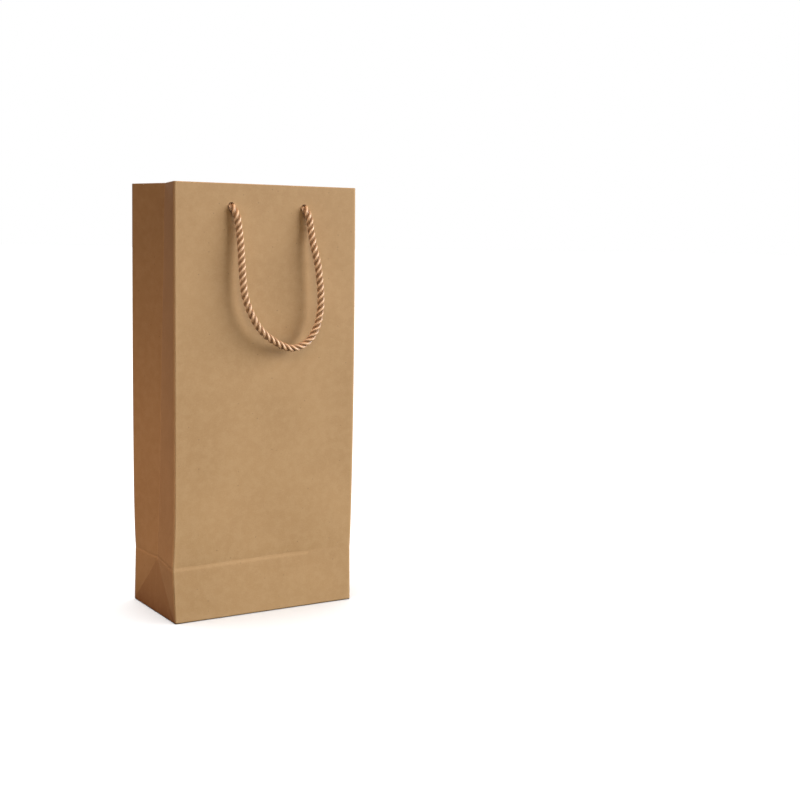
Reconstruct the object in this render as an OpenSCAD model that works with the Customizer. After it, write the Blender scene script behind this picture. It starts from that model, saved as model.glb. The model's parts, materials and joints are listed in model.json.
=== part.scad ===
// Two-bottle paper gift bag with a block bottom, turned-in top edge and knotted rope handles.
// +Z is up, the front faces -Y, and the origin is the middle of the resting face.

/* [Bag] */
// Width of the front and back panels
body_w = 180; // [170:1:190]
// Depth of the bag from front to back
body_d = 100; // [95:1:105]
// Height of the bag
body_h = 390; // [388:1:400]
// Thickness of one layer of paper
paper_t = 0.4; // [0.3:0.05:0.5]

/* [Side folds] */
// How far the centre crease is pushed in at the top edge
pinch_top = 12.5; // [8:0.5:14]
// How far the centre crease is pushed in above the base
pinch_low = 3; // [1:0.5:4]

/* [Top edge] */
// Depth of the turned-in hem
hem_h = 40; // [36:1:44]
// Thickness of the card inside the hem
card_t = 1.0; // [0.8:0.1:1.2]

/* [Base] */
// How far the front and back bottom flaps pass the middle
flap_lap = 10; // [6:1:14]
// Thickness of the loose-laid base board
board_t = 1.2; // [1:0.1:1.5]

/* [Handles] */
// Diameter of the twisted rope
rope_d = 6.6; // [6:0.1:6.8]
// Distance between the two holes of one handle
hole_gap = 72; // [72:0.1:72.4]
// Distance of the holes below the top edge
hole_drop = 20; // [18:1:22]

/* [Hidden] */
$fn = 48;
rope_r = rope_d / 2;
hole_r = rope_r + 0.3;
hole_x = hole_gap / 2;
hole_z = body_h - hole_drop;
half_w = body_w / 2;
half_d = body_d / 2;

// Layers on the front and back panels, measured from the outer face inwards
card_in = paper_t + card_t;
hem_in = card_in + paper_t;
side_gap = 1.5;      // the card and hem stop this far short of the side folds
gusset_gap = 2.5;    // a side hem starts this far from the outer face of a panel
hem_low = body_h - hem_h;
card_margin = 1;     // the card ends this far above the hem's lower edge
card_side = 4;       // and this far short of the hem's ends
glue_gap = 0.1;      // between a side hem and its wall
hem_steps = 3;

// Bottom layers, from the resting face up
tuck_in = 60;        // how far a tucked end flap reaches under the base board
tuck_slope = 30;
tuck_gap = 0.1;      // clear of the leaning foot of the gusset
board_z = 3 * paper_t;
board_gap = 1;       // between the base board and the walls

// Glued side seam
seam_w = 18;
seam_gap = 1.5;

// Rope ends and knots
hinge_out = 5;       // from the panel to the line that a handle swings about
run_gap = 1.5;       // between the rope's fixed stub and its swinging loop
knot_r = 8.5;
knot_t = 11;
knot_round = 4;
tail_low = 20;       // from the hole's height down to the end of the tail

// Route of the front rope between its two swing points: x, and y outwards from the panel, and z
// below the holes. The loop has slumped to one side.
ROUTE = [
    [-36, 5, 0], [-32.6, 4.5, 10], [-31.2, 5.2, 20], [-30.4, 7.1, 35], [-30, 8.4, 50], [-29.3, 9.4, 64],
    [-28, 10.4, 77], [-25.4, 11.4, 87], [-21.3, 12.2, 96.5], [-16, 12.7, 105.5], [-9, 12.9, 112.7],
    [0, 12.9, 119], [10, 12.8, 124], [19.1, 12.8, 125.8], [28.2, 12.9, 123.6], [36, 13, 118.2],
    [41.2, 13.1, 110.6], [44.4, 13.2, 102.6], [46.6, 13.2, 91.4], [47, 13, 79.3], [46.3, 12.4, 67],
    [45, 11.2, 53], [43.3, 10, 43], [41.3, 8.2, 32], [40.3, 5.5, 20], [39.1, 4.5, 10], [36, 5, 0]
];
RINGS_PER_SPAN = 2;
TUBE_SIDES = 12;

KRAFT = "#b5926a";
KRAFT_IN = "#a8845c";
CARD = "#c7b294";
ROPE = "#c98d55";

// ---------- helpers ----------

// Turns the front of the bag into the back
module at_back() { rotate([0, 0, 180]) children(); }

// A box from its lowest to its highest corner
module span(low, high) { translate(low) cube(high - low); }

// The two rope holes of one panel, drilled along Y near the front
module rope_holes() {
    for (x = [-hole_x, hole_x])
        translate([x, -half_d - 1, hole_z]) rotate([-90, 0, 0]) cylinder(r = hole_r, h = hem_in + 2);
}

// How far the centre crease of a side is pushed in at height z
function pinch(z) = pinch_low + (pinch_top - pinch_low) * pow((z - half_d) / (body_h - half_d), 0.8);

// Half of the left side as rows of [edge height, crease height]. Its outer face lies a inside the
// side plane and its inner face b. In the point list the inner face comes first.
module side_half(rows, edge_y, a, b) {
    point_sets = [for (off = [b, a]) [for (row = rows)
        let (full = pinch(row[1]), near = full * edge_y / half_d)
        [[-half_w + near + off, -half_d + edge_y, row[0]], [-half_w + full + off, 0, row[1]]]]];
    points = [for (set = point_sets) for (pair = set) for (p = pair) p];
    n = len(rows);
    at = function (side, row, end) side * 2 * n + row * 2 + end;
    faces = concat(
        [for (i = [0:n - 2]) each [
            [at(0, i, 0), at(0, i + 1, 0), at(0, i + 1, 1)], [at(0, i, 0), at(0, i + 1, 1), at(0, i, 1)],
            [at(1, i, 0), at(1, i + 1, 1), at(1, i + 1, 0)], [at(1, i, 0), at(1, i, 1), at(1, i + 1, 1)],
            [at(0, i, 0), at(1, i, 0), at(1, i + 1, 0)], [at(0, i, 0), at(1, i + 1, 0), at(0, i + 1, 0)],
            [at(0, i, 1), at(0, i + 1, 1), at(1, i + 1, 1)], [at(0, i, 1), at(1, i + 1, 1), at(1, i, 1)]]],
        [[at(0, 0, 0), at(0, 0, 1), at(1, 0, 1)], [at(0, 0, 0), at(1, 0, 1), at(1, 0, 0)],
         [at(0, n - 1, 0), at(1, n - 1, 1), at(0, n - 1, 1)],
         [at(0, n - 1, 0), at(1, n - 1, 0), at(1, n - 1, 1)]]);
    polyhedron(points, faces, convexity = 4);
}

// ---------- walls ----------

module wall() {
    difference() {
        span([-half_w, -half_d, 0], [half_w, -half_d + paper_t, body_h]);
        rope_holes();
    }
}

module front_panel() color(KRAFT) wall();
module back_panel() color(KRAFT) at_back() wall();

function hem_rows() = [for (i = [0:hem_steps]) let (z = hem_low + hem_h * i / hem_steps) [z, z]];

module side_wall() {
    low = [[paper_t, half_d]];
    steps = 5;
    middle = [for (i = [1:steps - 1]) let (z = half_d + (hem_low - half_d) * i / steps) [z, z]];
    side_half(concat(low, middle, hem_rows()), paper_t, 0, paper_t);
}

module side_foot() {
    edge = half_d - paper_t;
    lean = pinch_low;
    foot = [[-edge, 0, 0], [edge, 0, 0], [edge, paper_t, 0], [0, half_d, lean], [-edge, paper_t, 0]];
    points = [for (off = [paper_t, 0]) for (p = foot) [-half_w + p[2] + off, p[0], p[1]]];
    polyhedron(points, [[0, 4, 2, 1], [4, 3, 2], [5, 6, 7, 9], [9, 7, 8],
        [0, 1, 6, 5], [1, 2, 7, 6], [2, 3, 8, 7], [3, 4, 9, 8], [4, 0, 5, 9]], convexity = 2);
}

module left_gusset_front() color(KRAFT) side_wall();
module left_gusset_rear() color(KRAFT) mirror([0, 1, 0]) side_wall();
module left_gusset_foot() color(KRAFT) side_foot();
module right_gusset_front() color(KRAFT) mirror([1, 0, 0]) side_wall();
module right_gusset_rear() color(KRAFT) at_back() side_wall();
module right_gusset_foot() color(KRAFT) mirror([1, 0, 0]) side_foot();

// Glue tab of the right side, stuck inside the back panel
module side_seam_tab() {
    inner = half_d - paper_t;
    right = half_w - seam_gap;
    color(KRAFT_IN) span([right - seam_w, inner - paper_t, board_z + board_t + 1],
        [right, inner, hem_low - 1]);
}

// ---------- top edge ----------

module panel_hem() {
    reach = half_w - side_gap;
    y_card = -half_d + card_in;
    y_in = -half_d + hem_in;
    difference() {
        union() {
            span([-reach, y_card, hem_low], [reach, y_in, body_h]);
            span([-reach, -half_d + paper_t, body_h - paper_t], [reach, y_card, body_h]);
        }
        rope_holes();
    }
}

module panel_card() {
    reach = half_w - side_gap - card_side;
    difference() {
        span([-reach, -half_d + paper_t, hem_low + card_margin],
            [reach, -half_d + card_in, body_h - paper_t]);
        rope_holes();
    }
}

module side_hem() {
    outer = paper_t + glue_gap;
    side_half(hem_rows(), gusset_gap, outer, outer + paper_t);
}

module front_hem() color(KRAFT_IN) panel_hem();
module back_hem() color(KRAFT_IN) at_back() panel_hem();
module front_card() color(CARD) panel_card();
module back_card() color(CARD) at_back() panel_card();
module left_hem_front() color(KRAFT_IN) side_hem();
module left_hem_rear() color(KRAFT_IN) mirror([0, 1, 0]) side_hem();
module right_hem_front() color(KRAFT_IN) mirror([1, 0, 0]) side_hem();
module right_hem_rear() color(KRAFT_IN) at_back() side_hem();

// ---------- bottom ----------

// A flap folded in from the front edge: its ends run back from the corners at 45 degrees
module bottom_flap(z) {
    edge_y = -half_d + paper_t;
    end_x = half_w - paper_t - (flap_lap - edge_y);
    side_x = half_w - paper_t;
    translate([0, 0, z]) linear_extrude(paper_t)
        polygon([[-side_x, edge_y], [side_x, edge_y], [end_x, flap_lap], [-end_x, flap_lap]]);
}

// The end flap tucked in first, from the left side
module tuck_flap() {
    x = -half_w + paper_t + tuck_gap;
    y = half_d - paper_t;
    translate([0, 0, 2 * paper_t]) linear_extrude(paper_t)
        polygon([[x, -y], [x, y], [x + tuck_slope, y], [x + tuck_in, y - tuck_slope],
            [x + tuck_in, tuck_slope - y], [x + tuck_slope, -y]]);
}

module back_bottom_flap() color(KRAFT) at_back() bottom_flap(0);
module front_bottom_flap() color(KRAFT) bottom_flap(paper_t);
module left_tuck_flap() color(KRAFT) tuck_flap();
module right_tuck_flap() color(KRAFT) at_back() tuck_flap();

module base_board() {
    x = half_w - paper_t - board_gap;
    y = half_d - paper_t - board_gap;
    color(CARD) span([-x, -y, board_z], [x, y, board_z + board_t]);
}

// ---------- ropes ----------

// A knot inside the bag, with the rope through the hole and a short tail, for the hole at x
module knot(x) {
    inner_y = -half_d + hem_in;
    stub_y = -half_d - hinge_out + rope_r + run_gap;
    translate([x, 0, hole_z]) {
        translate([0, stub_y, 0]) rotate([-90, 0, 0]) cylinder(r = rope_r, h = inner_y - stub_y + 1);
        translate([0, inner_y, 0]) rotate([-90, 0, 0]) rotate_extrude() knot_outline();
        translate([0, inner_y + knot_t / 2, -tail_low]) cylinder(r = rope_r, h = tail_low);
    }
}

// Half section of a knot: flat against the hem, rounded at its rim
module knot_outline() {
    square([knot_r - knot_round, knot_t]);
    translate([0, knot_round]) square([knot_r, knot_t - 2 * knot_round]);
    for (y = [knot_round, knot_t - knot_round]) translate([knot_r - knot_round, y]) circle(knot_round);
}

module front_left_knot() color(ROPE) knot(-hole_x);
module front_right_knot() color(ROPE) knot(hole_x);
module back_left_knot() color(ROPE) at_back() knot(hole_x);
module back_right_knot() color(ROPE) at_back() knot(-hole_x);

// One step along a smooth curve through four points of the route
function curve(a, b, c, d, t) = 0.5 * (2 * b + (c - a) * t + (2 * a - 5 * b + 4 * c - d) * t * t
    + (3 * b - a - 3 * c + d) * t * t * t);

// The route in place, and its rings: every span in equal steps, and the last point
function place(p) = [p[0], -half_d - p[1], hole_z - p[2]];
path_points = [for (p = ROUTE) place(p)];
last = len(path_points) - 1;
function at_route(i) = path_points[max(0, min(last, i))];
centres = concat(
    [for (i = [0:last - 1]) for (k = [0:RINGS_PER_SPAN - 1])
        curve(at_route(i - 1), at_route(i), at_route(i + 1), at_route(i + 2), k / RINGS_PER_SPAN)],
    [path_points[last]]);
ring_last = len(centres) - 1;
function unit(v) = v / norm(v);
function heading(i) = unit(centres[min(ring_last, i + 1)] - centres[max(0, i - 1)]);

// One ring of radius r about centre c. The loop stays near one upright plane, so -Y serves as the
// first side direction of every ring.
function ring(c, t, r) = let (u = unit([0, -1, 0] + t * t[1]), v = cross(t, u))
    [for (k = [0:TUBE_SIDES - 1]) let (w = 360 * k / TUBE_SIDES) c + r * (u * cos(w) + v * sin(w))];

// The rings of a round end: side is -1 before the first centre and 1 after the last
function end_rings(i, side, angles) = [for (a = angles)
    ring(centres[i] + side * heading(i) * rope_r * sin(a), heading(i), rope_r * cos(a))];

// The rope tube, with round ends centred on the swing axis
module handle_rope() {
    s = TUBE_SIDES;
    rings = concat(end_rings(0, -1, [75, 50, 25]),
        [for (i = [0:ring_last]) ring(centres[i], heading(i), rope_r)],
        end_rings(ring_last, 1, [25, 50, 75]));
    count = len(rings);
    points = [for (r = rings) each r];
    walls = [for (i = [0:count - 2]) for (k = [0:s - 1]) let (m = (k + 1) % s)
        each [[i * s + k, (i + 1) * s + m, i * s + m], [i * s + k, (i + 1) * s + k, (i + 1) * s + m]]];
    ends = [[for (k = [0:s - 1]) k], [for (k = [s - 1:-1:0]) (count - 1) * s + k]];
    polyhedron(points, concat(walls, ends), convexity = 6);
}

module front_handle_rope() color(ROPE) handle_rope();
module back_handle_rope() color(ROPE) at_back() handle_rope();

front_panel();
back_panel();
left_gusset_front();
left_gusset_rear();
left_gusset_foot();
right_gusset_front();
right_gusset_rear();
right_gusset_foot();
side_seam_tab();
front_hem();
back_hem();
left_hem_front();
left_hem_rear();
right_hem_front();
right_hem_rear();
front_card();
back_card();
back_bottom_flap();
front_bottom_flap();
left_tuck_flap();
right_tuck_flap();
base_board();
front_left_knot();
front_right_knot();
back_left_knot();
back_right_knot();
front_handle_rope();
back_handle_rope();
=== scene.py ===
import json
import math

import bpy
import numpy as np
from mathutils import Matrix, Vector


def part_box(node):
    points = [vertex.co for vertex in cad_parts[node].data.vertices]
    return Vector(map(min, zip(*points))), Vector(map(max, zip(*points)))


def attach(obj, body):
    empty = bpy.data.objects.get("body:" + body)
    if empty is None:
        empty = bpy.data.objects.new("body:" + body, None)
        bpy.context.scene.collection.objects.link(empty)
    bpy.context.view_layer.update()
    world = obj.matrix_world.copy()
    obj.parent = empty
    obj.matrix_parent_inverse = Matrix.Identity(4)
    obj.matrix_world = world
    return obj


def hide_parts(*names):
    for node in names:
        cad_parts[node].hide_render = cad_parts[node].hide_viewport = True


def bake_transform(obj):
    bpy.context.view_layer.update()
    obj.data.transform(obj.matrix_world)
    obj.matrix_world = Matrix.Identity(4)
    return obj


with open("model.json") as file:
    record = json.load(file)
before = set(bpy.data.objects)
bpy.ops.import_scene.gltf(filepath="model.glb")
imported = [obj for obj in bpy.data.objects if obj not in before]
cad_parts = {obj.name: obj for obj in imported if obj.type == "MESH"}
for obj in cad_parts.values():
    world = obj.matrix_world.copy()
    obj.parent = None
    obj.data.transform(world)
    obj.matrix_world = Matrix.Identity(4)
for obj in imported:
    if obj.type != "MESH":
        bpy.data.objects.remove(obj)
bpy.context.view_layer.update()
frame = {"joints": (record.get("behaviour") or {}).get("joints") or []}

# A kraft paper wine gift bag with twisted rope handles. The front and the left side are made where they
# stand. The back and the right side are made there too, each with its own unevenness, and BACK
# turns them into place.

MM = 0.001

# ---------------------------------------------------------------- sizes, from the frame

panel_low, panel_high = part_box("front_panel")
HALF_W = panel_high.x
HALF_D = -panel_low.y
HEIGHT = panel_high.z
PAPER = panel_high.y - panel_low.y
HEM_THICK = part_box("front_hem")[1].y - panel_low.y
PINCH_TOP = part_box("left_gusset_front")[1].x - PAPER + HALF_W     # how far a side is folded in, at the top
PINCH_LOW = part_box("left_gusset_foot")[1].x - PAPER + HALF_W      # and at the block bottom
BOARD_LOW, BOARD_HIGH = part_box("base_board")
TUCK_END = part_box("left_tuck_flap")[1].x
SWING = next(j for j in frame["joints"] if j["name"] == "front_handle_swing")
HOLE_Z = SWING["pos_m"][2]

HOLE_X = 36 * MM          # from the middle of a panel to the middle of a hole
HOLE_R = 3.5 * MM
ROPE_R = 3.3 * MM
FOLD_R = 1.8 * MM         # outside radius of the upright folds
BASE_R = 1.2 * MM         # outside radius of the bottom folds
SIDE_HEM = 0.9 * MM       # thickness of the turned-in edge on the sides, which have no card
CARD_END = 88 * MM        # where a card ends, from the middle of its panel
CREASE_Z = 52 * MM        # height of the bottom crease on the front and back
GUSSET_Z = 50 * MM        # height at which a side's fold meets the block bottom

# ---------------------------------------------------------------- camera

CAMERA_AT = (-0.5423, -1.1336, 0.3453)
CAMERA_TURN = 32.286      # clockwise from +Y, seen from above
CAMERA_DOWN = 6.920
CAMERA_ROLL = 1.026
CAMERA_LENS = 60.23
CAMERA_SENSOR = 36


def make_camera():
    turn, down, roll = (math.radians(a) for a in (CAMERA_TURN, CAMERA_DOWN, CAMERA_ROLL))
    ahead = Vector((math.sin(turn) * math.cos(down), math.cos(turn) * math.cos(down), -math.sin(down)))
    level = Vector((math.cos(turn), -math.sin(turn), 0))
    above = level.cross(ahead)
    right = level * math.cos(roll) + above * math.sin(roll)
    up = above * math.cos(roll) - level * math.sin(roll)
    data = bpy.data.cameras.new("camera")
    data.lens = CAMERA_LENS
    data.sensor_width = CAMERA_SENSOR
    camera = bpy.data.objects.new("camera", data)
    camera.matrix_world = Matrix.Translation(CAMERA_AT) @ Matrix((right, up, -ahead)).transposed().to_4x4()
    bpy.context.scene.collection.objects.link(camera)
    bpy.context.scene.camera = camera


make_camera()

# ---------------------------------------------------------------- mesh helpers

BACK = np.diag([-1.0, -1.0, 1.0])     # turns the front into the back, and the left side into the right
SHARP_ANGLE = 48          # two faces that meet at more than this, in degrees, keep a sharp edge between them
WAVES = 9                 # sine waves that add up to a ripple


def place(piece, slot, *nodes):
    """Says that a piece stays with the bag, and hides the CAD nodes it stands for."""
    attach(piece, "root")
    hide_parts(*nodes)


def new_mesh(name, points, faces, layers, material):
    """A piece from points, faces and named per-point values."""
    mesh = bpy.data.meshes.new(name)
    mesh.from_pydata(points.tolist(), [], faces)
    mesh.polygons.foreach_set("use_smooth", np.ones(len(mesh.polygons), bool))
    for layer, values in layers.items():
        values = np.asarray(values, np.float32)
        kind = "FLOAT_VECTOR" if values.ndim == 2 else "FLOAT"
        attribute = mesh.attributes.new(layer, kind, "POINT")
        attribute.data.foreach_set("vector" if values.ndim == 2 else "value", values.ravel())
    mesh.materials.append(material)
    mesh.update()
    mesh.set_sharp_from_angle(angle=math.radians(SHARP_ANGLE))
    piece = bpy.data.objects.new(name, mesh)
    bpy.context.scene.collection.objects.link(piece)
    return piece


def grid_faces(rows, columns, keep=None, offset=0, flip=False):
    """Quads of a grid of points, row by row, without the cells where keep is False."""
    r, c = np.meshgrid(np.arange(rows - 1), np.arange(columns - 1), indexing="ij")
    a = offset + r * columns + c
    quads = np.stack([a, a + 1, a + columns + 1, a + columns], -1)
    if flip:
        quads = quads[..., ::-1]
    return quads.reshape(-1, 4) if keep is None else quads[keep]


def rim_faces(top, shift):
    """Quads that close the open border of a set of faces against its copy, whose points are numbered higher
    by shift."""
    edges = np.concatenate([top[:, [i, (i + 1) % 4]] for i in range(4)])
    pairs = {(int(a), int(b)) for a, b in edges}
    return [[b, a, a + shift, b + shift] for a, b in sorted(pairs) if (b, a) not in pairs]


def sheet_piece(name, outer, inner, coords, wear_and_highlight, material, keep=None, turn=None, foot_shade=None):
    """A closed sheet between two grids of points of the same shape. Columns run anticlockwise round the bag
    and rows run up, so that the outer grid faces out."""
    rows, columns = outer.shape[:2]
    count = rows * columns
    top = grid_faces(rows, columns, keep)
    under = grid_faces(rows, columns, keep, count, flip=True)
    faces = top.tolist() + under.tolist() + rim_faces(top, count)
    points = np.concatenate([outer.reshape(-1, 3), inner.reshape(-1, 3)])
    if turn is not None:
        points = points @ turn.T
    used = np.zeros(len(points), bool)
    used[np.concatenate([top.ravel(), under.ravel()])] = True
    renumber = np.cumsum(used) - 1
    faces = [[int(renumber[i]) for i in f] for f in faces]
    both = np.concatenate([coords.reshape(-1, 3)] * 2)
    worn_and_highlit = np.concatenate([wear_and_highlight.ravel()] * 2)
    # Painted shade at the foot of the sides, on the outer face only
    foot_shade = np.zeros(2 * count) if foot_shade is None else np.concatenate([foot_shade.ravel(), np.zeros(count)])
    layers = {"sheet": both[used], "worn_and_highlit": worn_and_highlit[used], "painted_foot_shade": foot_shade[used]}
    return new_mesh(name, points[used], faces, layers, material)


def normals_of(grid):
    """Unit normals of a grid of points, facing out."""
    across = np.gradient(grid, axis=1)
    along = np.gradient(grid, axis=0)
    n = np.cross(across, along)
    return n / np.maximum(np.linalg.norm(n, axis=2, keepdims=True), 1e-12)


def spaced(stops):
    """Places along a line from (place, step) stops: each stretch to the next stop is split evenly at about
    its step."""
    out = []
    for (a, step), (b, _) in zip(stops, stops[1:]):
        parts = max(1, round((b - a) / step))
        out.extend(a + (b - a) * np.arange(parts) / parts)
    return np.array(out + [stops[-1][0]])


def smooth(t):
    t = np.clip(t, 0, 1)
    return t * t * (3 - 2 * t)


def close_to(away, width):
    """1 at no distance away, and almost 0 from two widths on."""
    return np.exp(-(away / width) ** 2)


def ripple(u, v, seed, scale):
    """Slow waves over a sheet, between about -1 and 1, of the given size, from seeded directions."""
    r = np.random.default_rng(seed)
    total = 0
    for _ in range(WAVES):
        angle, phase, stretch = r.uniform(0, math.pi), r.uniform(0, 2 * math.pi), r.uniform(0.6, 1.6)
        wave = 2 * math.pi / (scale * stretch)
        total = total + np.sin(wave * (u * math.cos(angle) + v * math.sin(angle)) + phase)
    return total / math.sqrt(WAVES)


# ---------------------------------------------------------------- materials

class Shader:
    """A node material with one Principled shader. Inputs are numbers, colours or other nodes' outputs."""

    def __init__(self, name):
        self.material = bpy.data.materials.new(name)
        self.material.use_nodes = True
        self.tree = self.material.node_tree
        self.surface = self.tree.nodes["Principled BSDF"]

    def node(self, kind, inputs=None, **settings):
        made = self.tree.nodes.new("ShaderNode" + kind)
        for key, value in settings.items():
            setattr(made, key, value)
        for key, value in (inputs or {}).items():
            self.put(made.inputs[key], value)
        return made

    def put(self, socket, value):
        if isinstance(value, bpy.types.Node):
            value = value.outputs[0]
        if isinstance(value, bpy.types.NodeSocket):
            self.tree.links.new(value, socket)
        else:
            socket.default_value = value

    def set(self, **inputs):
        """Sets or links the shader's own sockets, whose names have _ for each space."""
        for key, value in inputs.items():
            self.put(self.surface.inputs[key.replace("_", " ")], value)

    def attribute(self, name, output="Vector"):
        return self.node("Attribute", attribute_name=name).outputs[output]

    def math(self, operation, a, b):
        return self.node("Math", {0: a, 1: b}, operation=operation).outputs[0]

    def scaled(self, vector, x, y, z):
        return self.node("VectorMath", {0: vector, 1: (x, y, z)}, operation="MULTIPLY").outputs[0]

    def turned(self, vector, degrees):
        return self.node("VectorRotate", {"Vector": vector, "Angle": math.radians(degrees)},
                         rotation_type="Z_AXIS").outputs[0]

    def noise(self, vector, scale, detail, roughness=0.5):
        return self.node("TexNoise", {"Vector": vector, "Scale": scale, "Detail": detail,
                                      "Roughness": roughness}).outputs["Fac"]

    def ramp(self, value, low, high, to_low=0.0, to_high=1.0):
        return self.node("MapRange", {"Value": value, "From Min": low, "From Max": high, "To Min": to_low,
                                      "To Max": to_high}, interpolation_type="SMOOTHSTEP").outputs[0]

    def mix(self, share, a, b):
        made = self.tree.nodes.new("ShaderNodeMix")
        made.data_type = "RGBA"
        self.put(made.inputs[0], share)
        self.put(made.inputs[6], a)
        self.put(made.inputs[7], b)
        return made.outputs[2]

    def bump(self, height, strength, distance, normal=None):
        inputs = {"Height": height, "Strength": strength, "Distance": distance}
        if normal is not None:
            inputs["Normal"] = normal
        return self.node("Bump", inputs).outputs[0]


def shade(colour, factor):
    """A colour times one factor, or times one each for red, green and blue."""
    return tuple(min(1, f * c) for f, c in zip(np.broadcast_to(factor, 3), colour)) + (1,)


# The paper's fibres: their direction in degrees, how finely they repeat along it and across it, how rare
# they are, and whether they are paler or darker than the paper
FIBRES = ((8, 260, 3400, 0.60, "light"), (67, 300, 3800, 0.61, "dark"),
          (121, 280, 3600, 0.60, "light"), (158, 330, 4200, 0.62, "dark"))
# The tint that the painted shade at the foot of the sides gives the dark colour
FOOT_SHADE_TINT = (0.42, 0.24, 0.06)


def paper_like(name, base, dark, light, fibre_share=0.5, rough=0.66):
    """Unbleached paper or card: cloudy formation, short fibres at all angles, specks, paler worn folds, a
    painted highlight under the bottom crease of the front and back, and painted shade at the foot of the
    sides."""
    s = Shader(name)
    sheet = s.attribute("sheet")
    worn_and_highlit = s.attribute("worn_and_highlit", "Fac")
    clouds = s.noise(sheet, 16, 2)
    mottle = s.noise(sheet, 130, 4, 0.6)
    grain = s.noise(sheet, 900, 3, 0.65)
    colour = s.mix(s.ramp(clouds, 0.32, 0.68, 0.0, 0.45), base, dark)
    colour = s.mix(s.ramp(mottle, 0.35, 0.7, 0.0, 0.42), colour, light)
    colour = s.mix(s.ramp(grain, 0.45, 0.7, 0.0, 0.3), colour, dark)
    height = s.math("MULTIPLY", grain, 0.6)
    for angle, length, width, low, tone in FIBRES:
        stretched = s.scaled(s.turned(sheet, angle), length, width, 300)
        fibre = s.ramp(s.noise(stretched, 1.0, 1.5), low, low + 0.1)
        colour = s.mix(s.math("MULTIPLY", fibre, fibre_share), colour, light if tone == "light" else dark)
        height = s.math("ADD", height, s.math("MULTIPLY", fibre, 0.5))
    cells = s.node("TexVoronoi", {"Vector": sheet, "Scale": 210.0, "Randomness": 1.0})
    pick = s.node("SeparateColor", {"Color": cells.outputs["Color"]})
    in_cell = s.ramp(cells.outputs["Distance"], 0.07, 0.15, 1.0, 0.0)
    speck = s.math("MULTIPLY", in_cell, s.ramp(pick.outputs["Red"], 0.80, 0.84))
    colour = s.mix(s.math("MULTIPLY", speck, 0.5), colour, shade(dark, 0.45))
    # Paler where folds are worn, and a painted highlight along the lower lip of the front's and back's bottom
    # crease
    rub_and_highlight = s.math("MULTIPLY", worn_and_highlit, s.ramp(s.noise(sheet, 700, 4, 0.7), 0.28, 0.62, 0.35, 1.0))
    colour = s.mix(s.math("MULTIPLY", rub_and_highlight, 0.5), colour, shade(light, 1.35))
    # Painted shade: darker and warmer at the foot of the sides, most at the bottom edge
    foot_shade = s.math("MULTIPLY", s.attribute("painted_foot_shade", "Fac"), s.ramp(mottle, 0.25, 0.6, 0.75, 1.0))
    colour = s.mix(foot_shade, colour, shade(dark, FOOT_SHADE_TINT))
    fine = s.bump(height, 0.35, 0.05 * MM)
    s.set(Base_Color=colour, Roughness=s.ramp(mottle, 0.3, 0.7, rough - 0.05, rough + 0.06),
          Normal=s.bump(mottle, 0.25, 0.35 * MM, fine))
    s.set(Specular_IOR_Level=0.42, Sheen_Weight=0.12, Sheen_Roughness=0.45)
    return s.material


def rope_like(name, base, dark, light):
    """Lustrous twisted cord: fine fibres that run along each strand, with a painted highlight on each
    strand's crest and painted shade in its grooves.
    """
    s = Shader(name)
    thread = s.attribute("thread")
    depth = s.attribute("depth", "Fac")
    fibres = s.noise(s.scaled(thread, 110, 5200, 7), 1.0, 3, 0.6)
    fleck = s.noise(s.scaled(thread, 420, 2600, 5), 1.0, 2, 0.55)
    colour = s.mix(s.ramp(fibres, 0.3, 0.72), dark, light)
    colour = s.mix(0.55, colour, base)
    colour = s.mix(s.ramp(fleck, 0.55, 0.75, 0.0, 0.35), colour, light)
    # Painted highlight on the strands' crests, and painted shade in the grooves between them
    colour = s.mix(s.ramp(depth, 0.0, 0.05, 0.25, 0.0), colour, light)
    colour = s.mix(s.ramp(depth, 0.03, 0.14, 0.0, 0.8), colour, shade(dark, 0.66))
    s.set(Base_Color=colour, Roughness=s.ramp(fibres, 0.3, 0.7, 0.3, 0.45),
          Normal=s.bump(s.math("ADD", fibres, s.math("MULTIPLY", fleck, 0.5)), 0.5, 0.12 * MM))
    s.set(Specular_IOR_Level=0.75, Sheen_Weight=0.3, Sheen_Roughness=0.3, Sheen_Tint=(1.0, 0.82, 0.7, 1))
    return s.material


# Each material's middle, dark and light colour
KRAFT = paper_like("kraft_paper", (0.490, 0.306, 0.145, 1), (0.425, 0.255, 0.114, 1),
                   (0.560, 0.375, 0.205, 1))
CARD = paper_like("grey_card", (0.47, 0.36, 0.24, 1), (0.37, 0.27, 0.17, 1), (0.58, 0.47, 0.34, 1),
                  fibre_share=0.6, rough=0.75)
ROPE = rope_like("satin_rope", (0.72, 0.46, 0.27, 1), (0.42, 0.21, 0.09, 1), (0.90, 0.63, 0.42, 1))

# ---------------------------------------------------------------- ropes

# Route of the front rope's loop, as in the design: x, out from the panel, and down from the holes, in mm
ROUTE = [
    (-36, 5, 0), (-32.6, 4.5, 10), (-31.2, 5.2, 20), (-30.4, 7.1, 35), (-30, 8.4, 50), (-29.3, 9.4, 64),
    (-28, 10.4, 77), (-25.4, 11.4, 87), (-21.3, 12.2, 96.5), (-16, 12.7, 105.5), (-9, 12.9, 112.7),
    (0, 12.9, 119), (10, 12.8, 124), (19.1, 12.8, 125.8), (28.2, 12.9, 123.6), (36, 13, 118.2),
    (41.2, 13.1, 110.6), (44.4, 13.2, 102.6), (46.6, 13.2, 91.4), (47, 13, 79.3), (46.3, 12.4, 67),
    (45, 11.2, 53), (43.3, 10, 43), (41.3, 8.2, 32), (40.3, 5.5, 20), (39.1, 4.5, 10), (36, 5, 0)]
EXIT = [(0.3, 0, 0.5), (1.2, 1.9, 2.6), (2.2, 3.2, 5.6)]   # the rope's turn from a hole down into the loop
STRANDS = 3
LAY = 18 * MM             # length of rope in which a strand goes round once
STRAND_R = 1.53 * MM
STRAND_OFF = ROPE_R - STRAND_R
STEP = 0.42 * MM          # distance between rings along a strand
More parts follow.
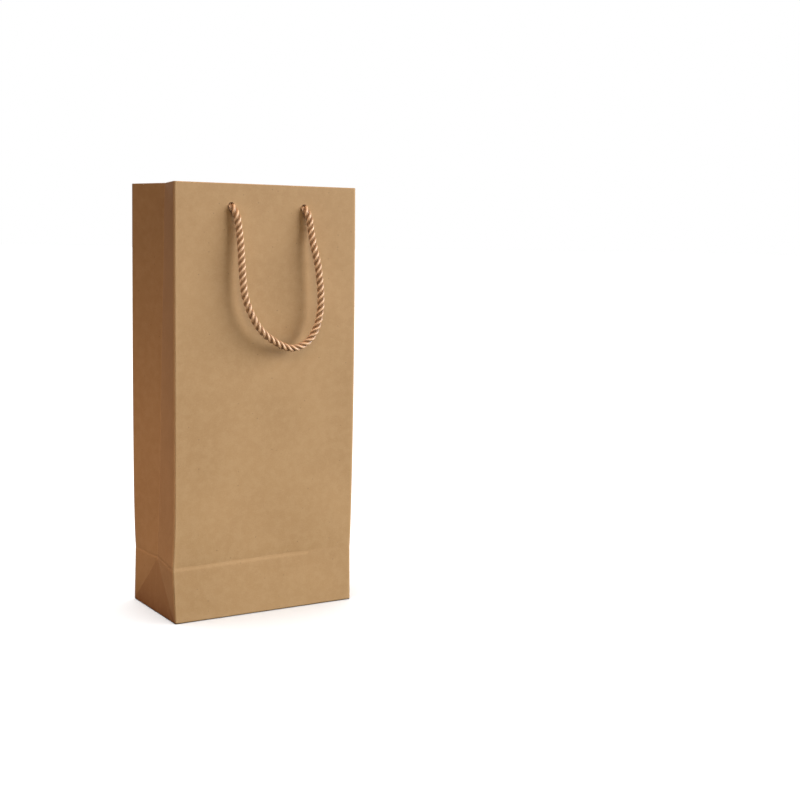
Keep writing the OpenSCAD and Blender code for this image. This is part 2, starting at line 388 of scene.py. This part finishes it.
AROUND = 34               # points round a strand
YARNS = 8                 # yarns in a strand, each a ridge of YARN_RELIEF of the strand's radius
YARN_RELIEF = 0.035
YARN_LAY = 8 * MM
SPLAY = 0.9 * MM          # how far the strands open out at a cut end, over its last SPLAY_REACH
SPLAY_REACH = 5 * MM
CURVE_POINTS = 24         # points between two of a route's points, before they are spaced evenly
CURVE_ROUNDS = 30         # rounds of smoothing of those points

# The knots, in mm
KNOT_RING = 5.0           # radius of the ring that a knot winds round
KNOT_TUBE = 2.8           # how far from the ring it winds
KNOT_ASIDE = 3.5          # from the hole to the middle of the ring
KNOT_GAP = 0.24           # how much of the winding is left open at its ends, in radians
KNOT_POINTS = 40
KNOT_DEPTH = HEM_THICK / MM + KNOT_TUBE + 3.3
KNOT_ENTRY = [(0, -0.9, 0), (0, -2.6, 0), (1.2, -4.8, 0.6)]              # from the hole to the winding
TAIL_BEND = [(4.2, -2.6, 1.6), (7, -3.2, 6.5), (7.4, -1.5, 13)]          # from the end of the winding
TAIL_ASIDE = 6.6
TAIL_DOWN = 20            # how far below the hole a tail ends


def knot_route(side):
    """From the hole to the end of the tail, as x from the hole, out and down: a trefoil wound round a ring
    that lies against the hem, and a tail that hangs beside it."""
    ring = []
    for t in np.linspace(KNOT_GAP, 2 * math.pi - KNOT_GAP, KNOT_POINTS):
        across = KNOT_RING + KNOT_TUBE * math.cos(3 * t)
        ring.append((side * (across * math.cos(2 * t) - KNOT_ASIDE),
                     -KNOT_DEPTH - KNOT_TUBE * math.sin(3 * t), across * math.sin(2 * t)))
    x, out, down = ring[-1]
    entry = [(side * aside, depth, drop) for aside, depth, drop in KNOT_ENTRY]
    tail = [(x + side * aside, out + depth, down + drop) for aside, depth, drop in TAIL_BEND]
    return entry + ring + tail + [(x + side * TAIL_ASIDE, out, TAIL_DOWN)]


def handle_route():
    """The whole front rope, from tail to tail, and the lengths at which it passes the two holes."""
    left = [(-HOLE_X / MM + x, out, down) for x, out, down in knot_route(-1)]
    right = [(HOLE_X / MM + x, out, down) for x, out, down in knot_route(1)]
    loop = [(-HOLE_X / MM + x, out, down) for x, out, down in EXIT] + ROUTE[1:-1]
    loop += [(HOLE_X / MM + x, out, down) for x, out, down in EXIT[::-1]]
    points = np.array(left[::-1] + loop + right, float) * MM
    placed = np.stack([points[:, 0], -HALF_D - points[:, 1], HOLE_Z - points[:, 2]], 1)
    return placed, len(left) - 1, len(left) + len(loop)


def spline(points, ends):
    """Equally spaced places along a smooth curve through the points, and where along it the points numbered
    in ends lie."""
    dense, marks = [], {}
    count = len(points)
    for i in range(count - 1):
        if i in ends:
            marks[i] = len(dense)
        a, b, c, d = (points[min(max(j, 0), count - 1)] for j in (i - 1, i, i + 1, i + 2))
        for t in np.arange(0, 1, 1 / CURVE_POINTS):
            dense.append(0.5 * (2 * b + (c - a) * t + (2 * a - 5 * b + 4 * c - d) * t ** 2
                                + (3 * b - a - 3 * c + d) * t ** 3))
    dense.append(points[-1])
    dense = np.array(dense)
    for _ in range(CURVE_ROUNDS):
        dense[1:-1] = 0.25 * dense[:-2] + 0.5 * dense[1:-1] + 0.25 * dense[2:]
    along = np.concatenate([[0], np.cumsum(np.linalg.norm(np.diff(dense, axis=0), axis=1))])
    places = np.linspace(0, along[-1], round(along[-1] / STEP) + 1)
    even = np.stack([np.interp(places, along, dense[:, k]) for k in range(3)], 1)
    return even, places, [along[marks[i]] for i in ends]


def carried_frames(path):
    """Unit tangents along a path, and two side directions that don't spin about it."""
    tangent = np.gradient(path, axis=0)
    tangent /= np.linalg.norm(tangent, axis=1, keepdims=True)
    side = np.zeros_like(path)
    side[0] = np.cross(tangent[0], [1.0, 0, 0])
    for i in range(1, len(path)):
        kept = side[i - 1] - tangent[i] * (side[i - 1] @ tangent[i])
        side[i] = kept / np.linalg.norm(kept)
    side[0] /= np.linalg.norm(side[0])
    return tangent, side, np.cross(tangent, side)


def rope_piece(name, path, places, low, high, turn, splay_end=0):
    """Three strands laid up right-handed along the part of the path between two lengths. splay_end is -1 or 1
    where the cut end opens out a little, at the low or the high end."""
    tangent, side, across = carried_frames(path)
    chosen = np.where((places >= low - 1e-9) & (places <= high + 1e-9))[0]
    angle = np.linspace(0, 2 * math.pi, AROUND, endpoint=False)
    points, faces, thread, depth = [], [], [], []
    for strand in range(STRANDS):
        turns = 2 * math.pi * (places / LAY + strand / STRANDS)
        radial = side * np.cos(turns)[:, None] + across * np.sin(turns)[:, None]
        off_axis = np.full(len(places), STRAND_OFF)
        if splay_end:
            left = places - low if splay_end < 0 else high - places
            off_axis = off_axis + SPLAY * np.clip(1 - left / SPLAY_REACH, 0, 1) ** 2
        centre = path + radial * off_axis[:, None]
        ahead = np.gradient(centre, axis=0)
        ahead /= np.linalg.norm(ahead, axis=1, keepdims=True)
        outward = radial - ahead * np.sum(radial * ahead, 1, keepdims=True)
        outward /= np.linalg.norm(outward, axis=1, keepdims=True)
        beside = np.cross(ahead, outward)
        c, o, b, s = centre[chosen], outward[chosen], beside[chosen], places[chosen]
        twist = angle[None, :] + 2 * math.pi * s[:, None] / YARN_LAY
        radius = STRAND_R * (1 + YARN_RELIEF * np.cos(YARNS * twist))
        rings = (c[:, None] + o[:, None] * (np.cos(angle)[None, :, None] * radius[..., None])
                 + b[:, None] * (np.sin(angle)[None, :, None] * radius[..., None]))
        first = sum(len(p) for p in points)
        rows = len(s)
        points.append(rings.reshape(-1, 3))
        r, k = np.meshgrid(np.arange(rows - 1), np.arange(AROUND), indexing="ij")
        n = (k + 1) % AROUND
        quads = np.stack([first + r * AROUND + k, first + r * AROUND + n, first + (r + 1) * AROUND + n,
                          first + (r + 1) * AROUND + k], -1)
        faces += quads.reshape(-1, 4).tolist()
        faces.append([first + k for k in range(AROUND - 1, -1, -1)])
        faces.append([first + (rows - 1) * AROUND + k for k in range(AROUND)])
        # The fibres' texture follows the yarns, which wind the other way to the strands. Each strand has a
        # part of the texture to itself.
        along = np.broadcast_to(s[:, None] + 0.37 * strand, (rows, AROUND))
        apart = np.full((rows, AROUND), 0.1 * strand)
        thread.append(np.stack([along, STRAND_R * twist, apart], -1).reshape(-1, 3))
        # 0 on a strand's crest and 1 where it faces the rope's middle; the material paints a highlight and
        # shade from it
        depth.append(np.broadcast_to(0.5 - 0.5 * np.cos(angle)[None, :], (rows, AROUND)).ravel())
    layers = {"thread": np.concatenate(thread), "depth": np.concatenate(depth)}
    return new_mesh(name, np.concatenate(points) @ turn.T, faces, layers, ROPE)


def make_handle(prefix, knot_nodes, turn):
    """One rope: a knot at each end inside the bag, and the loop outside. knot_nodes are the CAD knots at the
    start and the end of the route."""
    points, left_hole, right_hole = handle_route()
    path, places, (low, high) = spline(points, (left_hole, right_hole))
    loop = rope_piece(prefix + "_handle_loop", path, places, low, high, turn)
    knots = [rope_piece(prefix + "_knot_1", path, places, 0, low, turn, splay_end=-1),
             rope_piece(prefix + "_knot_2", path, places, high, places[-1], turn, splay_end=1)]
    for knot, node in zip(knots, knot_nodes):
        place(knot, "rope", node)
    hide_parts(prefix + "_handle_rope")
    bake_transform(loop)
    return loop


LOOPS = [make_handle("front", ("front_left_knot", "front_right_knot"), np.eye(3)),
         make_handle("back", ("back_left_knot", "back_right_knot"), BACK)]

# ---------------------------------------------------------------- paper: where it lies

# The four upright edges, in the order front left, front right, back right, back left
LEAN = (-2.5 * MM, -0.9 * MM, 1.0 * MM, 1.4 * MM)      # how far each leans sideways at the bottom crease
BOW = (-0.1 * MM, 1.2 * MM, 0.4 * MM, -0.5 * MM)       # how far it bows sideways above the crease
LEAN_FADE = 25 * MM                                    # the lean fades out above the crease
# The sides' numbers, which seed their unevenness too. Each side has two of the edges, and a sign, which is -1
# where BACK turns the side round.
FRONT, REAR, LEFT, RIGHT = 1, 2, 3, 4
EDGES = {FRONT: (0, 1, 1), REAR: (2, 3, -1), LEFT: (0, 3, 1), RIGHT: (2, 1, -1)}

HOLE_REACH = 10 * MM          # how far from a hole's middle its grid is bent
HOLE_STEP = HOLE_REACH / 12   # between its rows and columns there
HOLE_EDGE = 4 * HOLE_STEP     # the square round a hole that is left out of the grid, which becomes its rim
PINCH_FOOT = PINCH_LOW + 1.2 * MM
PANEL_IN = HALF_W - FOLD_R
GUSSET_IN = HALF_D - FOLD_R
ARC = FOLD_R * math.pi / 4
CORNER = 45                   # degrees that a side turns at each end, to the middle of its corner
CORNER_POINTS = 7

DIP = 0.5 * MM                # how far a panel dips in the middle
UNEVEN = 0.24 * MM            # how far a panel waves, and in waves of about what size
UNEVEN_SIZE = 85 * MM
GROOVE = 0.5 * MM             # depth of the bottom crease
CREASE_TILT = 1.5 * MM        # how far it climbs towards a corner
CREASE_WAVER = 0.35 * MM
SIDE_UNEVEN = 0.16 * MM       # the same for the folded sides
SIDE_UNEVEN_SIZE = 60 * MM
FOLD_ROUND = 0.55 * MM        # how softly a side's middle fold turns
EDGE_ROUND = 2 * MM           # and its two edges
FOOT_ROUND = 0.1 * MM         # and the edges of its foot
CREASE_WIDTH = 1.1 * MM       # of the creases round the foot

# Grid stops in mm, as spaced() takes them. Rows and columns pass through the middle of each hole.
HOLE_COLUMNS = [(-46, 0.8), (-36, 0.8), (-26, 2.4), (26, 0.8), (36, 0.8), (46, 2.4)]
HOLE_ROWS = [(360, 0.8), (370, 0.8), (380, 2)]
PANEL_FLAT = spaced([(-88.2, 0.7), (-81, 2.4), *HOLE_COLUMNS, (81, 0.7), (88.2, 0)]) * MM
GUSSET_FLAT = spaced([(-48.2, 0.8), (-44, 1.5), (-4, 0.8), (-1.6, 0.3), (1.6, 0.8), (4, 1.5), (44, 0.8),
                      (48.2, 0)]) * MM
BASE_TURN = np.radians([90, 72, 54, 36, 18, 0])       # the bottom fold, from lying flat to upright
WALL_ROWS = np.concatenate([BASE_R * (1 - np.sin(BASE_TURN)), spaced(
    [(1.2, 0.9), (3, 1.5), (42, 0.6), (62, 3), (344, 1), (356, 2), *HOLE_ROWS, (385, 0.7),
     (389.55, 0)])[1:] * MM])
WALL_INSETS = np.concatenate([BASE_R * (1 - np.cos(BASE_TURN)), np.zeros(len(WALL_ROWS) - len(BASE_TURN))])
WALL_JOIN = 385 * MM          # the rows above this are stretched to meet the turned-in edge
HEM_FOLD = 389 * MM           # where the turned-in edge's rows down the inside start
HEM_ROWS = spaced([(350, 1.6), *HOLE_ROWS, (389, 0)])[::-1] * MM
HEM_TURN = np.radians(np.linspace(0, 180, 13))


def columns(flat):
    """Centres and turns of a side's columns: half a corner, the flat, and half the next corner."""
    bend = np.radians(np.linspace(-CORNER, 0, CORNER_POINTS))
    middles = np.concatenate([np.full(CORNER_POINTS, flat[0]), flat[1:-1], np.full(CORNER_POINTS, flat[-1])])
    return middles, np.concatenate([bend, np.zeros(len(flat) - 2), -bend[::-1]])


def edge_depth(x, has_card):
    """Thickness of the turned-in top edge, which holds a card on the panels and none at the corners."""
    if not has_card:
        return np.full(x.shape, SIDE_HEM)
    return SIDE_HEM + (HEM_THICK - SIDE_HEM) * smooth((CARD_END - np.abs(x)) / (3 * MM))


def lean(edge, z):
    """How far one of the upright edges is off its place sideways."""
    above = np.exp(-np.maximum(z - CREASE_Z, 0) / LEAN_FADE)
    below = np.clip(z / CREASE_Z, 0, 1) ** 0.85
    up = np.clip((z - CREASE_Z) / (HEIGHT - CREASE_Z), 0, 1)
    return LEAN[edge] * np.where(z < CREASE_Z, below, above) + BOW[edge] * np.sin(math.pi * up)


def leaned(x, z, share, side):
    """x with the lean of a side's two edges, whose shares are 1 - share and share."""
    first, second, sign = EDGES[side]
    return x + sign * (lean(first, z) * (1 - share) + lean(second, z) * share)


def crease_line(x, side):
    """Height of the bottom crease along a panel."""
    return CREASE_Z + CREASE_TILT * x / HALF_W + CREASE_WAVER * ripple(x, 0 * x, side + 1, 45 * MM)


def bulge(x, z, side):
    """How far a panel stands out of its flat plane: it dips in the middle, waves where no edge or card holds
    it, and turns in along the bottom crease, which fades out towards the right."""
    across = np.cos(math.pi * np.clip(x / (2 * HALF_W), -0.5, 0.5))
    rise = smooth(z / (90 * MM)) * (1 - 0.45 * smooth((z - 250 * MM) / (140 * MM)))
    loose = smooth((HALF_W - np.abs(x)) / (22 * MM)) * smooth(z / (25 * MM))
    loose = loose * (1 - 0.7 * smooth((z - 320 * MM) / (35 * MM)))
    out = -DIP * across * rise + UNEVEN * loose * ripple(x, z, side, UNEVEN_SIZE)
    above = z - crease_line(x, side)
    groove = np.where(above > 0, np.exp(-np.abs(above) / (6 * MM)), np.exp(-np.abs(above) / (2.2 * MM)))
    fade = 1 - 0.8 * smooth((x - 20 * MM) / (45 * MM))
    return out - GROOVE * groove * fade * smooth((HALF_W - np.abs(x)) / (6 * MM))


def round_holes(x, z):
    """Moves grid points near the two holes so that the square left out of the grid becomes a round hole."""
    x, z = x.copy(), z.copy()
    for centre in (-HOLE_X, HOLE_X):
        dx, dz = x - centre, z - HOLE_Z
        square = np.maximum(np.abs(dx), np.abs(dz))
        radius = HOLE_R + (square - HOLE_EDGE) * (HOLE_REACH - HOLE_R) / (HOLE_REACH - HOLE_EDGE)
        share = smooth((square - HOLE_EDGE) / (HOLE_REACH - HOLE_EDGE))
        scale = radius / np.maximum(np.hypot(dx, dz), 1e-9) * (1 - share) + share
        near = (square < HOLE_REACH) & (square > 0.5 * HOLE_EDGE)
        x[near], z[near] = (centre + dx * scale)[near], (HOLE_Z + dz * scale)[near]
    return x, z


def hole_cells(x, z):
    """False for the grid's cells that lie in the holes."""
    mid_x, mid_z = (g[:-1, :-1] + g[1:, 1:] for g in (x / 2, z / 2))
    return (np.abs(np.abs(mid_x) - HOLE_X) > HOLE_EDGE) | (np.abs(mid_z - HOLE_Z) > HOLE_EDGE)


def panel_points(middles, turns, inset, z, side):
    """The front's points, at an inset from its outer face."""
    middles, z = round_holes(middles, z)
    x = middles + (FOLD_R - inset) * np.sin(turns)
    y = -HALF_D + FOLD_R - (FOLD_R - inset) * np.cos(turns) - bulge(middles, z, side)
    share = np.clip((x + HALF_W) / (2 * HALF_W), 0, 1)
    return np.stack([leaned(x, z, share, side), y, z], -1)


def gusset_in(y, z, side):
    """How far the left side is folded in: most at its upright fold, and nothing along the block bottom. The
    creases round its foot are pressed in a little more."""
    pinch = PINCH_FOOT + (PINCH_TOP - PINCH_FOOT) * np.clip((z - GUSSET_Z) / (HEIGHT - GUSSET_Z), 0, 1) ** 0.8
    near = GUSSET_IN - (np.sqrt(y ** 2 + FOLD_ROUND ** 2) - FOLD_ROUND)
    near = np.sqrt(np.maximum(near, 0) ** 2 + EDGE_ROUND ** 2) - EDGE_ROUND
    held = smooth((GUSSET_IN - np.abs(y)) / (12 * MM))
    walls = pinch / GUSSET_IN * near + SIDE_UNEVEN * ripple(y, z, side, SIDE_UNEVEN_SIZE) * held
    foot = PINCH_FOOT / GUSSET_Z * z
    low = 0.5 * (walls + foot - np.sqrt((walls - foot) ** 2 + FOOT_ROUND ** 2)) + FOOT_ROUND / 2
    blend = smooth((z - GUSSET_Z + 2 * MM) / (8 * MM))
    wobble = 0.5 * MM * ripple(y, 0 * y, side + 5, 30 * MM)
    level = z - GUSSET_Z - wobble
    slant = (z - (GUSSET_Z - np.abs(y)) - 0.6 * wobble) / math.sqrt(2)
    in_foot = z < GUSSET_Z + 1 * MM
    scored = 0.22 * close_to(level, CREASE_WIDTH) + 0.2 * close_to(slant, CREASE_WIDTH) * in_foot
    edges = smooth((GUSSET_IN + FOLD_R - np.abs(y)) / (4 * MM))
    return low * (1 - blend) + walls * blend + scored * MM * edges


def gusset_points(middles, turns, inset, z, side):
    """The left side's points. Columns run from the back to the front, so y falls as middles rises."""
    y = -middles - (FOLD_R - inset) * np.sin(turns)
    x = -HALF_W + FOLD_R - (FOLD_R - inset) * np.cos(turns) + gusset_in(middles, z, side)
    share = np.clip((y + HALF_D) / (2 * HALF_D), 0, 1)
    return np.stack([leaned(x, z, share, side), y, z], -1)


def sheet_place(middles, turns, up, offset):
    """Places on the flat sheet, which the paper's texture follows."""
    return np.stack([middles + FOLD_R * turns + offset, up, 0 * up + 0.01], -1)


# ---------------------------------------------------------------- paper: the walls and the turned-in top edge

def wall(name, nodes, flat, points_at, side, turn, offset, has_holes):
    """One side of the bag, from the bottom fold up to the turned-in edge."""
    middles, turns = columns(flat)
    shape = (len(WALL_ROWS), len(middles))
    middles, turns = np.broadcast_to(middles, shape), np.broadcast_to(turns, shape)
    z = np.broadcast_to(WALL_ROWS[:, None], shape)
    inset = np.broadcast_to(WALL_INSETS[:, None], shape)
    top = HEIGHT - edge_depth(middles, has_holes) / 2
    stretch = (top - WALL_JOIN) / (WALL_ROWS[-1] - WALL_JOIN)
    z = np.where(z > WALL_JOIN, WALL_JOIN + (z - WALL_JOIN) * stretch, z)
    outer = points_at(middles, turns, inset, z, side)
    inner = outer - PAPER * normals_of(outer)
    from_edge = np.abs(middles).max() - np.abs(middles) + 1.2 * MM * (1 - np.abs(turns) / np.radians(CORNER))
    wear_and_highlight = 0.85 * close_to(from_edge, 1.5 * MM)
    if has_holes:
        keep, foot_shade = hole_cells(middles, z), None
        below = z - crease_line(middles, side)
        # A painted highlight along the lower lip of the bottom crease, which fades out towards the right
        wear_and_highlight = wear_and_highlight + 0.45 * close_to(below + 2.2 * MM, 1.3 * MM) * (middles < 45 * MM)
        for centre in (-HOLE_X, HOLE_X):
            from_hole = np.maximum(np.abs(middles - centre), np.abs(z - HOLE_Z)) - HOLE_EDGE
            wear_and_highlight = wear_and_highlight + 0.5 * np.exp(-np.maximum(from_hole, 0) / (0.6 * MM))
    else:
        keep, in_foot = None, GUSSET_Z - np.abs(middles) - z
        # Painted shade: the foot triangle darker, and darker still towards the bottom edge
        foot_shade = 0.33 * smooth(in_foot / (3 * MM) + 0.5) + 0.62 * np.exp(-z / (13 * MM))
        wear_and_highlight = wear_and_highlight + 0.5 * close_to(middles, 0.9 * MM)
        for away in (z - GUSSET_Z, in_foot / math.sqrt(2)):
            wear_and_highlight = wear_and_highlight + 0.4 * close_to(away, CREASE_WIDTH) * (z < GUSSET_Z + 2 * MM)
    wear_and_highlight = np.clip(wear_and_highlight + 0.5 * np.exp(-z / (1.2 * MM)), 0, 1)
    coords = sheet_place(middles, turns, z, offset)
    piece = sheet_piece(name, outer, inner, coords, wear_and_highlight, KRAFT, keep, turn, foot_shade)
    place(piece, "kraft_paper", *nodes)


def hem(name, nodes, flat, points_at, side, turn, offset, has_holes):
    """The top edge, folded in over the card: up over the edge and down the inside."""
    middles, turns = columns(flat)
    rows = len(HEM_TURN) + len(HEM_ROWS) - 1
    middles, turns = (np.broadcast_to(a, (rows, len(a))) for a in (middles, turns))
    radius = edge_depth(middles, has_holes) / 2
    angle = np.concatenate([HEM_TURN, np.full(len(HEM_ROWS) - 1, math.pi)])[:, None]
    over = angle < math.pi
    inset = radius * (1 - np.cos(angle))
    level = np.concatenate([np.full(len(HEM_TURN), HEM_FOLD), HEM_ROWS[1:]])[:, None]
    z = np.where(over, HEIGHT - radius + radius * np.sin(angle), level)
    z[len(HEM_TURN) - 1] = HEIGHT - radius[0]
    wobble = 0.25 * MM * ripple(middles, 0 * middles, side + 9, 40 * MM)
    z = z + wobble * smooth((356 * MM - z) / (6 * MM))
    outer = points_at(middles, turns, inset, z, side)
    inner = outer - PAPER * normals_of(outer)
    middle_column = outer[:, outer.shape[1] // 2]
    up = np.concatenate([[0], np.cumsum(np.linalg.norm(np.diff(middle_column, axis=0), axis=1))])
    up = HEIGHT + np.broadcast_to(up[:, None], z.shape)
    from_edge = np.abs(middles).max() - np.abs(middles)
    wear_and_highlight = np.clip(0.9 * np.sin(angle) ** 2 * over + 0.4 * close_to(from_edge, 1.5 * MM), 0, 1)
    keep = hole_cells(middles, np.where(over, HEIGHT, z)) if has_holes else None
    coords = sheet_place(middles, turns, up, offset)
    piece = sheet_piece(name, outer, inner, coords, wear_and_highlight, KRAFT, keep, turn)
    place(piece, "kraft_paper", *nodes)


# Offsets keep each side in a part of the paper's texture to itself
SIDE_OFFSET = -(PANEL_IN + GUSSET_IN + 2 * ARC)
BACK_OFFSET = 0.6
for side, number, turn, offset in (("front", FRONT, None, 0.0), ("back", REAR, BACK, BACK_OFFSET)):
    args = (PANEL_FLAT, panel_points, number, turn, offset, True)
    wall(side + "_wall", [side + "_panel"], *args)
    hem(side + "_top_edge", [side + "_hem"], *args)
for side, number, turn, offset in (("left", LEFT, None, 0.0), ("right", RIGHT, BACK, BACK_OFFSET)):
    args = (GUSSET_FLAT, gusset_points, number, turn, SIDE_OFFSET + offset, False)
    wall(side + "_gusset", [side + "_gusset_" + part for part in ("front", "rear", "foot")], *args)
    hem(side + "_top_edge", [side + "_hem_front", side + "_hem_rear"], *args)


def inner_sheet(name, node, side, turn, low, high, thick, material, slot, has_holes=False):
    """A flat piece that lies against the inside of the front or back: a card or the seam's tab. low and high
    are its corners (x, z) in mm, as the wall it lies on sees them."""
    if has_holes:
        x = [(low[0], 2.4), *HOLE_COLUMNS, (high[0], 0)]
        z = [(low[1], 1.6), *HOLE_ROWS, (high[1], 0)]
    else:
        x, z = ([(low[i], 2.4), (high[i], 0)] for i in (0, 1))
    x, z = np.meshgrid(spaced(x) * MM, spaced(z) * MM)
    outer = panel_points(x, 0 * x, PAPER, z, side)
    inner = panel_points(x, 0 * x, PAPER + thick, z, side)
    piece = sheet_piece(name, outer, inner, sheet_place(x, 0 * x, z, 0.3 + side), 0 * x, material,
                        hole_cells(x, z) if has_holes else None, turn)
    place(piece, slot, node)


for side, number, turn in (("front", FRONT, None), ("back", REAR, BACK)):
    low, high = (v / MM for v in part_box(side + "_card"))
    inner_sheet(side + "_stiffener", side + "_card", number, turn, (low.x, low.z), (high.x, high.z - 0.1),
                (high.y - low.y) * MM, CARD, "card", has_holes=True)

tab_low, tab_high = (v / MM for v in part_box("side_seam_tab"))
inner_sheet("seam_tab", "side_seam_tab", REAR, BACK, (-tab_high.x, tab_low.z + 0.8), (-tab_low.x, tab_high.z),
            PAPER, KRAFT, "kraft_paper")

# ---------------------------------------------------------------- paper: the block bottom and its board

FLAP_COLUMNS = 61


def flap(name, node, outline, level, turn, seed, wave):
    """A flat piece of the sheet on the bottom. outline gives the row's two ends (x) for each y; level gives z
    over x, y; wave is how far it waves, in mm."""
    ys, lows, highs = outline
    x = lows[:, None] + (highs - lows)[:, None] * np.linspace(0, 1, FLAP_COLUMNS)
    y = np.broadcast_to(ys[:, None], x.shape)
    free = smooth((ys[:, None] - ys[0]) / (8 * MM))
    z = level(x, y) + wave * MM * (1 + ripple(x, y, seed, 40 * MM)) * free
    low = np.stack([x, y, z], -1)
    from_edge = np.minimum(x - lows[:, None], highs[:, None] - x)
    wear_and_highlight = 0.5 * close_to(from_edge, MM)
    coords = np.stack([x, y, 0 * z + 0.2 + seed], -1)
    low, wear_and_highlight = low[:, ::-1], wear_and_highlight[:, ::-1]
    piece = sheet_piece(name, low, low + [0, 0, PAPER], coords, wear_and_highlight, KRAFT, turn=turn)
    place(piece, "kraft_paper", node)


FLAP_Y = spaced([(-HALF_D / MM + 1.2, 1), (-HALF_D / MM + 6, 3), (-15, 0.6), (-9, 3), (10, 0)]) * MM
FLAP_HALF = HALF_W - FOLD_R + 0.5 * MM - np.clip(FLAP_Y + GUSSET_IN - 0.8 * MM, 0, None)
TRAPEZOID = (FLAP_Y, -FLAP_HALF, FLAP_HALF)
TUCK_SLANT = 30 * MM      # how much shorter a tuck flap is at its sides, which slant at 45 degrees
TUCK_Y = spaced([(-GUSSET_IN / MM, 2), (GUSSET_IN / MM, 0)]) * MM
TUCK_CUT = np.clip(TUCK_SLANT - (GUSSET_IN - np.abs(TUCK_Y)), 0, None)
TUCK = (TUCK_Y, np.full(len(TUCK_Y), -HALF_W + BASE_R), TUCK_END - TUCK_CUT)


def over_back_flap(x, y):
    """The front flap's height: it climbs onto the back flap where the two lap."""
    return 1.05 * PAPER * smooth((y + 14 * MM) / (4 * MM)) * (y < 15 * MM)


def over_both_flaps(x, y):
    """A tuck flap's height: it climbs onto the front and back flaps at its fold."""
    return 2.1 * PAPER * smooth((x + HALF_W - BASE_R) / (2 * MM))


flap("back_flap", "back_bottom_flap", TRAPEZOID, lambda x, y: 0 * x, BACK, 11, 0)
flap("front_flap", "front_bottom_flap", TRAPEZOID, over_back_flap, None, 12, 0.02)
flap("left_tuck", "left_tuck_flap", TUCK, over_both_flaps, None, 13, 0.02)
flap("right_tuck", "right_tuck_flap", TUCK, over_both_flaps, BACK, 14, 0.02)


def rounded(v, half, past, past_other, corner):
    """One of the board's coordinates, with the board's corners rounded."""
    curved = half - corner + corner * past * np.sqrt(1 - past_other ** 2 / 2)
    return np.where(past > 0, curved * np.sign(v), v)


def make_board():
    half_x, half_y = BOARD_HIGH.x, BOARD_HIGH.y
    corner = 4 * MM
    x, y = np.meshgrid(*(spaced([(-half, 0.6), (-half + 5, 3), (half - 5, 0.6), (half, 0)]) * MM
                         for half in (half_x / MM, half_y / MM)))
    past_x, past_y = (np.clip((np.abs(v) - half + corner) / corner, 0, 1)
                      for v, half in ((x, half_x), (y, half_y)))
    round_x = rounded(x, half_x, past_x, past_y, corner)
    round_y = rounded(y, half_y, past_y, past_x, corner)
    lift = 0.25 * MM * (1 + 0.5 * ripple(x, y, 15, 70 * MM))
    low, high = (np.stack([round_x, round_y, level + lift], -1) for level in (BOARD_LOW.z, BOARD_HIGH.z))
    from_edge = np.minimum(half_x - np.abs(x), half_y - np.abs(y))
    piece = sheet_piece("base_card", high, low, np.stack([x, y, 0 * x + 0.9], -1),
                        0.6 * close_to(from_edge, MM), CARD)
    place(piece, "card", "base_board")


make_board()

# ---------------------------------------------------------------- floor, light

floor_shader = Shader("pale_floor")
floor_shader.set(Base_Color=(0.90, 0.90, 0.90, 1), Roughness=0.8, Specular_IOR_Level=0.0)
bpy.ops.mesh.primitive_plane_add(size=60, location=(0, 0, -0.3 * MM))
floor = bpy.context.object
floor.name = "floor"
floor.data.materials.append(floor_shader.material)
floor.visible_diffuse = False
floor.visible_glossy = False


def linked(name, state, pieces):
    """A collection of the pieces that a light leaves out or keeps to."""
    group = bpy.data.collections.new(name)
    for piece in pieces:
        group.objects.link(piece)
    for entry in group.collection_objects:
        entry.light_linking.link_state = state
    return group


NOT_FLOOR, ONLY_FLOOR = linked("all_but_floor", "EXCLUDE", [floor]), linked("floor_only", "INCLUDE", [floor])
ONLY_ROPES = linked("ropes_only", "INCLUDE", LOOPS)
AIM = Vector((0, 0, 0.2))


def area_light(name, way, distance, size, power, colour, receivers=NOT_FLOOR):
    """A round soft light that faces AIM from a distance, in the direction way."""
    data = bpy.data.lights.new(name, "AREA")
    data.shape = "DISK"
    data.size = size
    data.energy = power
    data.color = colour
    light = bpy.data.objects.new(name, data)
    at = AIM + Vector(way).normalized() * distance
    light.matrix_world = Matrix.Translation(at) @ (AIM - at).to_track_quat("-Z", "Y").to_matrix().to_4x4()
    light.light_linking.receiver_collection = receivers
    light.visible_camera = False
    bpy.context.scene.collection.objects.link(light)


area_light("key", (1.5, -1.0, 0.38), 10, 8.4, 1640, (1.0, 0.985, 0.955))
area_light("front_fill", (-0.24, -1.0, 0.55), 2.4, 1.6, 11, (1.0, 0.82, 0.58))
area_light("edge_fill", (-0.5, -1.0, 0.75), 2.4, 0.9, 4.2, (0.93, 0.93, 1.0))
area_light("front_low", (0.2, -1.0, -0.42), 0.5, 0.3, 0.28, (1.0, 0.86, 0.55))
area_light("left_top", (-0.27, 0.0, 1.0), 3, 1.2, 38, (1.0, 0.58, 0.36))
area_light("left_low", (-0.44, 0.04, -0.16), 0.456, 0.16, 0.6, (1.0, 0.68, 0.48))
area_light("back", (0.3, 1.0, 0.4), 3, 1.2, 46, (1.0, 0.96, 0.9))
area_light("rope_edge", (-1.0, -0.75, 0.7), 2, 0.8, 11, (1.0, 0.94, 0.86), ONLY_ROPES)

sun = bpy.data.objects.new("floor_light", bpy.data.lights.new("floor_light", "SUN"))
sun.data.energy = 4.9
sun.data.angle = 1.6
sun.light_linking.receiver_collection = ONLY_FLOOR
bpy.context.scene.collection.objects.link(sun)

world = bpy.data.worlds.new("soft")
world.use_nodes = True
world.node_tree.nodes["Background"].inputs["Color"].default_value = (1, 1, 1, 1)
world.node_tree.nodes["Background"].inputs["Strength"].default_value = 1.0
world.cycles_visibility.diffuse = False
world.cycles_visibility.glossy = False
bpy.context.scene.world = world
bpy.context.scene.view_settings.view_transform = "Standard"
bpy.context.scene.view_settings.look = "None"
